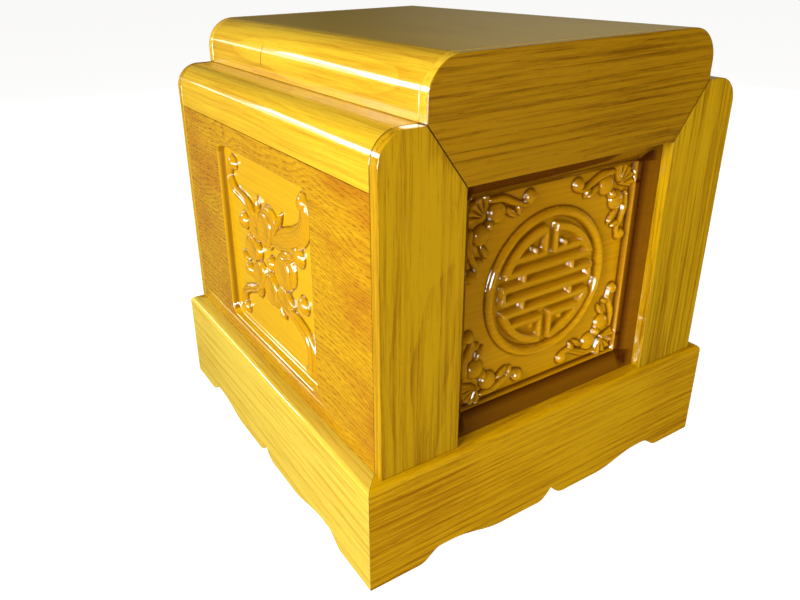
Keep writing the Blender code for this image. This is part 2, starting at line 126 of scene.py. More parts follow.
class Nodes:
    """A node tree under construction."""

    def __init__(self, tree):
        self.tree = tree

    def put(self, socket, value):
        if isinstance(value, Value):
            self.tree.links.new(value.socket, socket)
        else:
            socket.default_value = value

    def node(self, kind, settings, sockets, output=0):
        node = self.tree.nodes.new(kind)
        for setting, value in settings.items():
            setattr(node, setting, value)
        for name, value in sockets.items():
            self.put(node.inputs[name], value)
        return Value(self, node.outputs[output])

    def place(self, kind="Object"):
        """The three Object coordinates, in metres, or those of another kind."""
        spot = self.node("ShaderNodeTexCoord", {}, {}, kind)
        return [self.node("ShaderNodeSeparateXYZ", {}, {"Vector": spot}, axis) for axis in "XYZ"]

    def noise(self, x, y, z, detail=2.0, roughness=0.5):
        """Noise from 0 to 1 over three coordinates that are already scaled."""
        spot = self.node("ShaderNodeCombineXYZ", {}, {"X": x, "Y": y, "Z": z})
        return self.node("ShaderNodeTexNoise", {}, {
            "Vector": spot, "Scale": 1.0, "Detail": detail, "Roughness": roughness})

    def mix(self, factor, first, second, blend="MIX"):
        return self.node("ShaderNodeMix", {"data_type": "RGBA", "blend_type": blend}, {
            0: factor, 6: first, 7: second}, 2)

    def attribute(self, name):
        return self.node("ShaderNodeAttribute", {"attribute_name": name}, {}, "Fac")

    def bump(self, height, distance, strength=1.0, normal=None):
        sockets = {"Height": height, "Distance": distance, "Strength": strength}
        if normal:
            sockets["Normal"] = normal
        return self.node("ShaderNodeBump", {}, sockets)


class Finish(Nodes):
    """A material on Object coordinates."""

    def __init__(self, name, roughness, coat=0.0):
        self.material = bpy.data.materials.new(name)
        self.material.use_nodes = True
        super().__init__(self.material.node_tree)
        self.shader = self.tree.nodes["Principled BSDF"]
        self.shader.inputs["Roughness"].default_value = roughness
        self.shader.inputs["Coat Weight"].default_value = coat
        self.shader.inputs["Coat Roughness"].default_value = 0.04


def colour(red, green, blue):
    """A linear colour from its display values, 0 to 255."""
    return tuple(((c / 255 + 0.055) / 1.055) ** 2.4 for c in (red, green, blue)) + (1.0,)


# Wood

class Wood(Finish):
    """Lacquered wood. Its grain comes first, then what lies over it, and the lacquer last."""

    def __init__(self, name, order, shift, light, dark, heart=0.07, grain=1.3, gloss=0.13):
        """The order names the axes along the grain, across the face and into the board. The shift moves the
        grain over the board, heart is how far the middle of the tree lies from it, and grain is its contrast."""
        super().__init__(name, gloss, LACQUER)
        self.gloss = gloss
        self.axes = dict(zip("XYZ", self.place()))
        self.along, self.across, self.into = (self.axes[axis] + move for axis, move in zip(order, shift))
        sway = self.grained(2.6, 8, 2.5) - 0.5
        ripple = self.grained(14, 30, 2) - 0.5
        reach = (self.across ** 2 + (self.into + heart) ** 2) ** 0.5 + sway * 0.03 + ripple * 0.0022
        ring = (reach / RING_WIDTH).fraction()
        late = ring ** 2.5 * (1 - ring.step(0.93, 1.0))
        streak = self.grained(5, 240, 3, 0.65)
        fibre = self.grained(24, 900, 2, 0.6)
        pore = self.grained(90, 1500, 1).step(0.60, 0.72)
        cloud = self.grained(4, 11, 2)
        self.streak = streak
        self.tone = late * 0.3 + (streak - 0.5) * 1.5 + (fibre - 0.5) * 0.9
        self.tone = self.tone + pore * 0.25 + (cloud - 0.45) * 0.9
        self.height = fibre * 0.4 + streak * 0.4 - pore * 0.5 - late * 0.3
        self.colours = self.mix((self.tone - 0.16) * 1.2 * grain + 0.32, light, dark)

    def grained(self, along, across, detail, roughness=0.5):
        """Noise drawn out with the grain, by its waves to the metre along and across it."""
        return self.noise(self.along * along, self.across * across, self.into * across, detail, roughness)

    def lay(self, share, shade, blend="MIX"):
        """Lays a colour over the wood, by a share from 0 to 1."""
        self.colours = self.mix(share, self.colours, shade, blend)

    def line(self, away, share, shade):
        """A thin line where the distance from it, in metres, is nothing."""
        self.lay((1 - away.size().step(0.3 * MM, 0.9 * MM)) * share, shade)

    def figured(self):
        """Brown patches and wavy rows of dark dashes, but for the plain field of the carving."""
        board = 1 - self.attribute("field")
        patch = self.grained(7, 16, 3, 0.6).step(0.42, 0.68)
        self.lay(patch * board * 0.7, colour(172, 104, 4))
        bend = self.grained(7, 15, 1.5) * 18
        wave = (bend + self.across * 230).fraction()
        row = wave.step(0.3, 0.75) * (1 - wave.step(0.85, 1.0))
        dash = self.grained(110, 1100, 2, 0.6).step(0.38, 0.62)
        self.lay((row * 0.7 + 0.3) * dash * board * 0.72, colour(124, 64, 3))
        self.lay((1 - board) * 0.6, colour(220, 172, 14))
        self.height = self.height - row * dash * board * 0.6

    def carved(self):
        """Dark staining and painted shade by a field, and painted shade on its forms and in its dark-lacquered
        hollows.
        """
        # Dark stain on the end boards' margins, and painted shade on the side boards' field walls.
        self.lay(self.attribute("stain_and_shade"), self.mix(self.streak, colour(96, 50, 2), colour(140, 84, 6)))
        # Painted shade: the upper margin under the lid's end and the raised forms made browner.
        self.lay(self.attribute("painted_shade"), colour(190, 130, 40), "MULTIPLY")
        # Painted shade, with dark lacquer, in the hollows of the carving.
        self.lay(self.attribute("hollow"), colour(128, 78, 36), "MULTIPLY")

    def painted_shade_upper_left(self, right):
        """Painted shade: slightly darker colour toward the upper left of an end board, whose right is 1 or -1
        along X.
        """
        lower_right = (self.axes["X"] * right - self.axes["Z"] + 0.23).step(-0.2, 0.2)
        self.lay(1 - lower_right, colour(204, 194, 180), "MULTIPLY")

    def painted_lit_sides(self, face):
        """Painted light: a paler, yellower colour behind a face that lies at one distance from the middle of the
        box.
        """
        behind = 1 - self.axes["Y"].size().step(face - 1.4 * MM, face - 0.7 * MM)
        self.lay(behind, self.mix(self.tone, colour(226, 184, 44), colour(184, 126, 10)))

    def sloped_joint(self, foot, rise):
        """The dark line of the joint that rises from a foot, on both sides of the box."""
        away = ((self.axes["X"].size() - foot.x) * rise.z - (self.axes["Z"] - foot.z) * rise.x) / rise.length
        self.line(away, 0.8, colour(50, 26, 4))

    def end_joints(self, end):
        """Dark joints at both ends, at one distance from the middle of the box."""
        near_end = self.axes["Y"].size().step(end - 0.9 * MM, end - 0.4 * MM)
        self.lay(near_end * 0.75, colour(66, 30, 4))

    def cracked(self, place, low, high):
        """A short upright crack in the left side, at one place along the grain and between two heights."""
        waver = (self.noise(self.across * 30, self.into * 30, 3.0) - 0.5) * 6 * MM
        left = 1 - self.axes["X"].step(-0.1, -0.05)
        between = self.axes["Z"].step(low, low + 4 * MM) * (1 - self.axes["Z"].step(high - 4 * MM, high))
        self.line(self.axes["Y"] - place + waver, left * between, colour(60, 28, 4))

    def lacquered(self, dull=None):
        """The finished material, whose lacquer may be dull by a share from 0 to 1."""
        swell = self.grained(22, 34, 1.5)
        normal = self.bump(self.height, 0.04 * MM, 0.6, self.bump(swell, 0.3 * MM, 0.5))
        self.put(self.shader.inputs["Base Color"], self.colours)
        self.put(self.shader.inputs["Normal"], normal)
        if dull:
            self.put(self.shader.inputs["Coat Weight"], LACQUER - dull * 0.8)
            self.put(self.shader.inputs["Roughness"], self.gloss + dull * 0.3)
        return self.material


# Joinery

def slab(low, high):
    """A box between two opposite corners."""
    low = Vector(low)
    high = Vector(high)
    work = bmesh.new()
    bmesh.ops.create_cube(work, size=1)
    bmesh.ops.scale(work, vec=high - low, verts=work.verts)
    bmesh.ops.translate(work, vec=(low + high) / 2, verts=work.verts)
    bmesh.ops.recalc_face_normals(work, faces=work.faces)
    return work


def push_out(work, geom, depth):
    """Extrudes faces by a depth along Y into a closed body."""
    made = bmesh.ops.extrude_face_region(work, geom=geom)
    moved = [item for item in made["geom"] if isinstance(item, bmesh.types.BMVert)]
    bmesh.ops.translate(work, vec=(0, depth, 0), verts=moved)
    bmesh.ops.recalc_face_normals(work, faces=work.faces)


def edges_where(work, test):
    """The edges whose ends both pass a test of their place."""
    return [edge for edge in work.edges if all(test(vert.co) for vert in edge.verts)]


def bevel(work, edges, width, segments):
    bmesh.ops.bevel(work, geom=edges, offset=width, offset_type="OFFSET", segments=segments,
                    profile=0.5, affect="EDGES", material=-1, clamp_overlap=True)


def round_over(work, x, z, radius, segments):
    """Rounds over the edge that runs along Y at one x and z."""
    edges = edges_where(work, lambda spot: abs(spot.x - x) < GAP / 2 and abs(spot.z - z) < GAP / 2)
    bevel(work, edges, radius, segments)


def ease(work):
    """Eases every sharp edge, as sanding does."""
    edges = [edge for edge in work.edges if edge.is_manifold and edge.calc_face_angle() > math.radians(35)]
    bevel(work, edges, EASE, 3)


def cut_off(work, point, normal):
    """Cuts away what lies beyond a plane, and closes the cut."""
    cut = bmesh.ops.bisect_plane(work, geom=[*work.verts, *work.edges, *work.faces], dist=0.01 * MM,
                                 plane_co=point, plane_no=normal, clear_outer=True)
    edges = [item for item in cut["geom_cut"] if isinstance(item, bmesh.types.BMEdge)]
    bmesh.ops.holes_fill(work, edges=edges, sides=0)


def piece(node, work, material, turn=FRONT, carved=False):
    """A finished mesh that stands in for its CAD node, which it hides, and rides with the root body."""
    if not carved:
        for face in work.faces:
            face.smooth = True
        for edge in work.edges:
            edge.smooth = not (edge.is_manifold and edge.calc_face_angle() > math.radians(50))
    bmesh.ops.transform(work, matrix=turn, verts=work.verts)
    bmesh.ops.recalc_face_normals(work, faces=work.faces)
    name = node + "_finished"
    mesh = bpy.data.meshes.new(name)
    work.to_mesh(mesh)
    work.free()
    mesh.materials.append(material)
    made = bpy.data.objects.new(name, mesh)
    bpy.context.scene.collection.objects.link(made)
    if not carved:
        flatten = made.modifiers.new("flat faces, round edges", "WEIGHTED_NORMAL")
        flatten.weight = 100
        flatten.keep_sharp = True
    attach(made, "root")
    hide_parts(node)


def scallop(corner, middle):
    """Height of the plinth's lower edge at a distance from its nearer corner and its middle, in mm."""
    foot, short, flat, long = 53, 24, 12, 62
    rise, clearance, cusp, cusp_half = 12, 1.5, 14, 18
    if corner < foot:
        return 0
    if corner < foot + short:
        return rise * (1 - math.cos(math.pi * (corner - foot) / short)) / 2
    if corner < foot + short + flat:
        return rise
    if corner < foot + short + flat + long:
        wave = (1 + math.cos(math.pi * (corner - foot - short - flat) / long)) / 2
        return clearance + (rise - clearance) * wave
    if middle < cusp_half:
        return clearance + (cusp - clearance) * (1 - middle / cusp_half) ** 2
    return clearance


def plinth_board(node, material, turn, half, outer, inner, height):
    """A board with a rounded top edge and a scalloped lower edge, mitred at both ends."""
    work = bmesh.new()
    bmesh.ops.create_grid(work, x_segments=240, y_segments=1, size=1)
    for vert in work.verts:
        u = abs(vert.co.x) * half
        lower = scallop((half - u) / MM, u / MM) * MM
        vert.co = (vert.co.x * half, -outer, height if vert.co.y > 0 else lower)
    push_out(work, work.faces[:], outer - inner)
    bmesh.ops.dissolve_limit(work, angle_limit=math.radians(0.6), verts=work.verts, edges=work.edges)
    top = edges_where(work, lambda spot: abs(spot.y + outer) < GAP / 2 and abs(spot.z - height) < GAP / 2)
    bevel(work, top, PLINTH_ROUND, 8)
    low = [edge for edge in edges_where(work, lambda spot: spot.z < SCALLOPS_TOP)
           if edge.is_manifold and abs(edge.verts[0].co.y - edge.verts[1].co.y) < GAP
           and edge.calc_face_angle() > math.radians(60)]
    bevel(work, low, PLINTH_EASE, 2)
    for end in (-1, 1):
        mitre = Vector((end, 1, 0)).normalized()
        cut_off(work, Vector((end * half, -outer, 0)) - mitre * GAP / 2, mitre)
    piece(node, work, material, turn)


def plinth():
    low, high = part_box("plinth_board_front")
    half_x = -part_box("plinth_board_left")[0].x
    half_y = -low.y
    board = high.y - low.y
    front = Wood("plinth front wood", "XZY", (0.31, 0.02, 0.11), colour(214, 163, 6), colour(158, 102, 1))
    # The side boards get paler, greyer wood than the front ones: a painted reflection of the pale floor.
    side = Wood("plinth side wood", "YZX", (0.9, 0.05, 0.4), colour(229, 200, 72), colour(196, 156, 34))
    front = front.lacquered()
    side = side.lacquered()
    plinth_board("plinth_board_front", front, FRONT, half_x, half_y, half_y - board, high.z)
    plinth_board("plinth_board_back", front, BACK, half_x, half_y, half_y - board, high.z)
    plinth_board("plinth_board_left", side, LEFT, half_y, half_x, half_x - board, high.z)
    plinth_board("plinth_board_right", side, RIGHT, half_y, half_x, half_x - board, high.z)


def lid_joint():
    """The foot of the sloped joint between the lid's end and the right post, and its rise from there."""
    post_low, post_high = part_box("post_front_right")
    lid_low, lid_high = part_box("lid_end_front")
    foot = Vector((post_low.x, 0, lid_low.z))
    return foot, Vector((lid_high.x, 0, post_high.z)) - foot


def posts():
    """Corner posts with a rounded shoulder, cut to the slope of the lid's end."""
    low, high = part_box("post_front_right")
    foot, rise = lid_joint()
    start = foot - Vector((0, 0, GAP))
    lean = rise + Vector((0, 0, GAP))
    for end, turn in (("front", FRONT), ("back", BACK)):
        # The left posts get darker wood and the right ones paler: painted shade and painted light that even out
        # the lamps.
        for word, side, light in (("left", -1, colour(196, 151, 4)), ("right", 1, colour(207, 161, 6))):
            work = slab((side * low.x, low.y, low.z), (side * high.x, high.y, high.z))
            round_over(work, side * high.x, high.z, SHOULDER_ROUND, 18)
            cut_off(work, (side * start.x, 0, start.z), (-side * lean.z, 0, lean.x))
            ease(work)
            wood = Wood(f"post wood {end} {word}", "ZXY", (0.13 * side, 0.35 + 0.21 * side, 0.05),
                        light, colour(148, 100, 2), heart=0.03)
            wood.sloped_joint(foot, rise)
            piece(f"post_{end}_{word}", work, wood.lacquered(), turn)


def shoulder_rails():
    """Rounded rails, whose flat top under the lid is left dull."""
    for word in ("left", "right"):
        low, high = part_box(f"shoulder_rail_{word}")
        work = slab(low, high)
        outer = low.x if word == "left" else high.x
        round_over(work, outer, high.z, SHOULDER_ROUND, 18)
        ease(work)
        wood = Wood(f"shoulder wood {word}", "YXZ", (0.6, 0.4 + outer, 0.1), colour(226, 186, 38),
                    colour(184, 128, 10), heart=0.2, grain=0.9)
        wood.end_joints(high.y)
        dull = wood.axes["Z"].step(high.z - 0.6 * MM, high.z - 0.2 * MM)
        piece(f"shoulder_rail_{word}", work, wood.lacquered(dull))


def lid_shell():
    """The hollow lid, rounded over along both sides."""
    low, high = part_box("lid_shell")
    inner = high.x - LID_SIDE_WALL
    ceiling = high.z - LID_TOP_WALL
    work = bmesh.new()
    section = [work.verts.new((x, low.y, z)) for x, z in (
        (low.x, low.z), (low.x, high.z), (high.x, high.z), (high.x, low.z), (inner, low.z), (inner, ceiling),
        (-inner, ceiling), (-inner, low.z))]
    push_out(work, [work.faces.new(section)], high.y - low.y)
    for x in (low.x, high.x):
        round_over(work, x, high.z, LID_ROUND, 22)
    ease(work)
    wood = Wood("lid wood", "YXZ", (0.2, 0.0, -0.3), colour(226, 186, 40), colour(184, 126, 10), heart=-0.07,
                grain=0.9)
    wood.cracked(67 * MM, 411 * MM, 434 * MM)
    piece("lid_shell", work, wood.lacquered())


def lid_ends():
    """The keystone-shaped boards that close the lid and stand between the posts."""
    low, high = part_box("lid_end_front")
    foot, rise = lid_joint()
    start = foot - Vector((GAP / 2, 0, 0))
    lean = rise + Vector((GAP / 2, 0, GAP))
    # The front face gets darker wood than its sides, which are painted paler: painted shade on the front,
    # painted light on the sides.
    wood = Wood("lid end wood", "XZY", (0.47, 0.33, 0.2), colour(169, 121, 3), colour(118, 74, 1), heart=0.05)
    wood.painted_lit_sides(-low.y)
    wood.sloped_joint(foot, rise)
    material = wood.lacquered()
    for end, turn in (("front", FRONT), ("back", BACK)):
        work = slab(low, high)
        for side in (-1, 1):
            round_over(work, side * high.x, high.z, LID_ROUND, 22)
            cut_off(work, (side * start.x, 0, start.z), (side * lean.z, 0, -lean.x))
        ease(work)
        piece(f"lid_end_{end}", work, material, turn)


def floor_board():
    """The floor board keeps its CAD mesh and gets a thinly sealed wood."""
    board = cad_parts["floor_board"]
    wood = Wood("floor wood", "YXZ", (0.1, 0.2, 0.3), colour(196, 150, 84), colour(128, 86, 40), gloss=0.45)
    board.data.materials.clear()
    board.data.materials.append(wood.lacquered())


# Carving

class Carving:
    """Heights in mm over a grid of points, raised by one form after another."""

    def __init__(self, u, v):
        self.u = u
        self.v = v
        self.height = np.zeros_like(u)

    def seen_from(self, u, v, angle):
        """The grid's points from a place, with the first axis along an angle in degrees."""
        turn = math.radians(angle)
        along = (self.u - u) * math.cos(turn) + (self.v - v) * math.sin(turn)
        across = (self.v - v) * math.cos(turn) - (self.u - u) * math.sin(turn)
        return along, across

    def raise_to(self, form):
        self.height = np.maximum(self.height, form)

    def bead(self, u, v, radius, height, stretch=1.0, angle=0.0):
        along, across = self.seen_from(u, v, angle)
        inside = 1 - (along / (radius * stretch)) ** 2 - (across / radius) ** 2
        self.raise_to(height * np.clip(inside, 0, 1) ** 0.5)

    def leaf(self, u, v, angle, length, width, height):
        """A pointed leaf with a crease down its middle."""
        crease, crease_width = 1.2, 0.55
        along, across = self.seen_from(u, v, angle)
        place = np.clip(along / length * 2, -1, 1)
        half = width / 2 * (1 - place ** 2) ** 0.8 + 1e-6
        inside = np.clip(1 - (across / half) ** 2, 0, 1)
        groove = crease * np.exp(-(across / crease_width) ** 2)
        self.raise_to(np.where(inside > 0, height * inside ** 0.5 * (1 - 0.35 * place ** 2) - groove, 0))

    def scroll(self, route, height, lines=()):
        """A rounded ridge along a smooth route of (u, v, half width), with grooves at shares of its width."""
        groove, groove_width = 0.9, 0.16
        path = smooth_path(route)
        nearest = np.full(self.u.shape, 9.0)
        offset = np.zeros_like(self.u)
        for start, end in zip(path, path[1:]):
            step = end[:2] - start[:2]
            length = step @ step
            share = np.clip(((self.u - start[0]) * step[0] + (self.v - start[1]) * step[1]) / length, 0, 1)
            away_u = self.u - start[0] - share * step[0]
            away_v = self.v - start[1] - share * step[1]
            half = start[2] + (end[2] - start[2]) * share
            distance = np.hypot(away_u, away_v) / half
            side = np.sign(step[0] * away_v - step[1] * away_u)
            closer = distance < nearest
            offset = np.where(closer, distance * side, offset)
            nearest = np.minimum(nearest, distance)
        form = height * np.clip(1 - nearest ** 2, 0, 1) ** 0.5
        for place in lines:
            form = form - groove * np.exp(-((offset - place) / groove_width) ** 2) * (nearest < 0.95)
        self.raise_to(form)

    def petal(self, u, v, angle, length, width, height):
        """A full petal, broader at its tip, with a shallow hollow and a line cut inside its edge."""
        hollow, groove, groove_place, groove_width = 0.28, 0.8, 0.79, 0.55
        along, across = self.seen_from(u, v, angle)
        broad = width / 2 * (1 + 0.16 * np.clip(along / length * 2, -1, 1))
        share = np.sqrt((along / length * 2) ** 2 + (across / broad) ** 2)
        rim = np.sin(np.clip((1 - share) / 0.3, 0, 1) * math.pi / 2) ** 0.6
        cup = 1 - hollow * np.clip(1 - share / 0.8, 0, 1) ** 0.7
        line = groove * np.exp(-((share - groove_place) * length / 2 / groove_width) ** 2)
        self.raise_to((height * cup - line) * rim)


def smooth_path(points, steps=8):
    """Points along a Catmull-Rom curve through the given ones."""
    knots = np.array([2 * np.array(points[0]) - points[1], *points, 2 * np.array(points[-1]) - points[-2]])
    path = []
    for before, start, end, after in zip(knots, knots[1:], knots[2:], knots[3:]):
        for t in np.arange(steps) / steps:
            path.append(0.5 * (2 * start + (end - before) * t
                               + (2 * before - 5 * start + 4 * end - after) * t ** 2
                               + (3 * start - before - 3 * end + after) * t ** 3))
    return path + [knots[-2]]


def slope(distance, width):
    """0 at half a width below zero, 1 at half a width above it, and smooth between them."""
    share = np.clip(distance / width + 0.5, 0, 1)
    return share * share * (3 - 2 * share)


def roundel(carving):
    """Ring, broken rim and strokes of the round longevity pattern, with floors cut below the ground."""
    ring_radius, ring_half, ring_foot, ring_top = 69.3, 4.6, -1.2, 5.2
    rim_radius, rim_half, rim_start, rim_end = 55.6, 3.6, 20.5, 84.5
    rim_degree = math.radians(1) * 55.5
    floor, floor_radius, strokes_top, strokes_reach = -2.6, 70.5, 4.9, 57
    across, up = np.abs(carving.u), np.abs(carving.v)
    radius = np.hypot(across, up)
    angle = np.degrees(np.arctan2(up, across))

    def bar(u0, u1, v0, v1):
        """How far each point lies inside a bar that all four quarters have."""
        return np.minimum(np.minimum(across - u0, u1 - across), np.minimum(up - v0, v1 - up))

    rim_ends = np.minimum(angle - rim_start, rim_end - angle) * rim_degree
    rim = np.minimum(rim_half - np.abs(radius - rim_radius), rim_ends)
    rows = np.maximum(bar(-1, 60, 3.5, 9.5), bar(-1, 60, 16.5, 22.5))
    strokes = [
        rim, np.minimum(rows, strokes_reach - radius), bar(4.5, 43.5, 29.5, 35.5), bar(4.5, 8.2, 32, 53),
        bar(28.2, 31.8, 8, 18), bar(16.3, 20, 34, 40), bar(51.6, 55.6, -8, 8)]
    inside = np.max(strokes, axis=0)
    cut = floor * slope(floor_radius - radius, 3)
    top = strokes_top - 0.5 * np.clip(1 - np.maximum(inside, 0) / 1.2, 0, 1) ** 2
    figure = cut + (top - cut) * slope(inside, 1.0)
    across_ring = (radius - ring_radius) / ring_half
    ring = ring_foot + (ring_top - ring_foot) * np.clip(1 - across_ring ** 2, 0, 1) ** 0.5
    body = np.where(radius < 72.5, figure, carving.height)
    carving.height = np.where(np.abs(across_ring) < 1, np.maximum(body, ring), body)


def corner_spray(carving, side_u, side_v, half_u, half_v):
    """Shell, berries, leaves and two stems that end in a bud, laid out from the field's corner."""
    shell_place, shell_radius, shell_angle, shell_spread, rib_angle = 19.5, 18.5, 46, 62, 22.5
    corner = Carving(half_u - side_u * carving.u, half_v - side_v * carving.v)
    along, across = corner.u - shell_place, corner.v - shell_place
    reach = np.hypot(along, across)
    bearing = np.degrees(np.arctan2(-across, -along)) - shell_angle
    ribs = 0.5 + 0.5 * np.cos(np.radians(bearing * 360 / rib_angle))
    fan = (3.2 + 2.2 * ribs) * slope(shell_radius - reach + 1.5 * ribs, 2.5) * slope(reach - 2.5, 3)
    corner.raise_to(fan * slope(shell_spread - np.abs(bearing), 8))
    for route in (((26.5, 6.5, 2.4), (40.5, 7.5, 3.4), (54.5, 13.5, 3), (64.5, 17.5, 2.6), (72, 16, 2.2)),
                  ((6.5, 30.5, 2.4), (5.5, 44.5, 3.4), (9.5, 55.5, 3), (13.5, 63.5, 2.6), (12, 71.5, 2.2))):
        corner.scroll(route, 4.6, (0.3,))
    for u, v, angle, length in ((50.5, 21.5, 35, 17), (59.5, 20.5, 70, 12), (22.5, 51.5, 55, 17),
                                (16.5, 59.5, 20, 12)):
        corner.leaf(u, v, angle, length, 6.2, 5)
    for u, v, size, height in ((34.5, 18.5, 9.5, 6.5), (18.5, 35.5, 9.5, 6.5), (26.1, 28, 4.7, 7),
                               (71.5, 11.5, 6.5, 6.5), (8.5, 71.5, 6, 6.5)):
        corner.bead(u, v, size, height)
    carving.raise_to(corner.height)


def flower(carving):
    """A broad blossom with a scroll to each corner, buds and pointed leaves."""
    upper_left = ((-24, 30, 4), (-36, 43, 5.5), (-56, 50, 6), (-76, 54, 6), (-87, 68, 5), (-80, 82, 4))
    upper_right = ((16, 26, 8), (40, 34, 12), (62, 42, 12), (80, 55, 11), (86, 72, 10), (82, 84, 8))
    lower_right = ((18, -36, 4), (42, -41, 5.5), (62, -45, 7), (79, -54, 9), (86, -68, 9.5), (84, -86, 9))
    lower_left = ((-22, -38, 3), (-42, -48, 4), (-60, -55, 4.5), (-74, -64, 5), (-76, -80, 4.5))
    carving.scroll(upper_left, 5.6, (-0.3, 0.35))
    carving.scroll(upper_right, 5.6, (-0.66, -0.36, -0.06, 0.26, 0.58))
    carving.scroll(lower_right, 5.6, (-0.5, 0.45))
    carving.scroll(lower_left, 5.6, (0,))
    for u, v, angle, length, width in (
            (-18, 52, 92, 22, 7), (27, 45, 56, 36, 8), (-60, -15, 160, 18, 6.5), (44, -26, -35, 24, 9),
            (-28, -47, 235, 20, 8), (26, -46, 300, 20, 8), (46, 16, 20, 30, 8)):
        carving.leaf(u, v, angle, length, width, 5.4)
    for u, v, radius, stretch in (
            (-58, 25, 9.5, 1), (68, 27, 10.5, 1.1), (-53, -29, 7.5, 1.2), (73, -21, 9, 1.1),
            (-76, 84, 7, 1.3), (82, 82, 9, 1), (83, -86, 8, 1.1), (-72, -82, 7.5, 1)):
        carving.bead(u, v, radius, 6.4, stretch, -25)
    for u, v, angle, length, width, height in (
            (6, 39, 80, 38, 40, 4.6), (41, 5, 8, 38, 38, 4.6), (-28, 27, 135, 34, 30, 4.6),
            (32, -32, -45, 34, 26, 4.6), (-26, -25, 222, 36, 30, 5.2), (-1, 31, 92, 40, 36, 6.2),
            (34, -1, 0, 40, 37, 6.4), (-36, 1, 178, 38, 29, 6), (5, -31, 278, 38, 34, 6.2)):
        carving.petal(u, v, angle, length, width, height)
    carving.bead(7, -2, 8, 6.8)


# Carved boards

def grid_lines(half, *outside):
    """Places of the grid's lines: fine inside the field, and a few beyond it, the farthest first."""
    inner = np.linspace(FIELD_WALL - half, half - FIELD_WALL, FIELD_CELLS + 1)
    return np.array([*(-np.array(outside)), -half, *inner, half, *reversed(outside)])


def hollows(height, columns):
    """How far each point of a carved grid lies below its surroundings, from 0 to 1: the share of painted shade.
    """
    grid = height.reshape(-1, columns)
    around = grid.copy()
    for _ in range(HOLLOW_ROUNDS):
        rows = around[:-2, 1:-1] + around[2:, 1:-1]
        around[1:-1, 1:-1] = (rows + around[1:-1, :-2] + around[1:-1, 2:]) / 4
    return np.clip((around - grid) / HOLLOW_DEPTH, 0, 1).ravel()


def carved_face(lines_u, lines_v, centre, ground, shape):
    """A grid in front of a ground, raised to a shape, which gives the height and the marks of each point."""
    work = bmesh.new()
    bmesh.ops.create_grid(work, x_segments=len(lines_u) - 1, y_segments=len(lines_v) - 1, size=1)
    mesh = bpy.data.meshes.new("carved face")
    work.to_mesh(mesh)
    spots = np.empty(len(mesh.vertices) * 3)
    mesh.vertices.foreach_get("co", spots)
    column, row, _ = spots.reshape(-1, 3).T
    u = lines_u[np.rint((column + 1) / 2 * (len(lines_u) - 1)).astype(int)]
    v = lines_v[np.rint((row + 1) / 2 * (len(lines_v) - 1)).astype(int)]
    height, marks = shape(u, v)
    # The painted shade in hollows grows with how far they lie below their surroundings.
    marks["hollow"] = marks["hollow"] * hollows(height, len(lines_u))
    placed = np.stack((u, -(ground / MM + height), v + centre / MM), axis=1) * MM
    mesh.vertices.foreach_set("co", placed.ravel())
    for label, values in marks.items():
        layer = mesh.attributes.new(label, "FLOAT", "POINT")
        layer.data.foreach_set("value", values.astype(np.float32))
    work.clear()
    work.from_mesh(mesh)
    bpy.data.meshes.remove(mesh)
    return work


def carved_board(node, work, back, material, turn, notched=None):
    """Closes a carved face into a board with a flat back, without the notched part of it."""
    for face in work.faces:
        face.smooth = True
    if notched:
        gone = [face for face in work.faces if notched(face.calc_center_median())]
        bmesh.ops.delete(work, geom=gone, context="FACES")
    rim = [edge for edge in work.edges if edge.is_boundary]
    for edge in rim:
        edge.smooth = False
    made = bmesh.ops.extrude_edge_only(work, edges=rim)
    moved = [item for item in made["geom"] if isinstance(item, bmesh.types.BMVert)]
    for vert in moved:
        vert.co.y = -back
    behind = [edge for edge in work.edges if edge.is_boundary]
    bmesh.ops.edgeloop_fill(work, edges=behind)
    for face in work.faces:
        if any(abs(vert.co.y + back) < GAP / 2 for vert in face.verts):
            face.smooth = False
    piece(node, work, material, turn, carved=True)


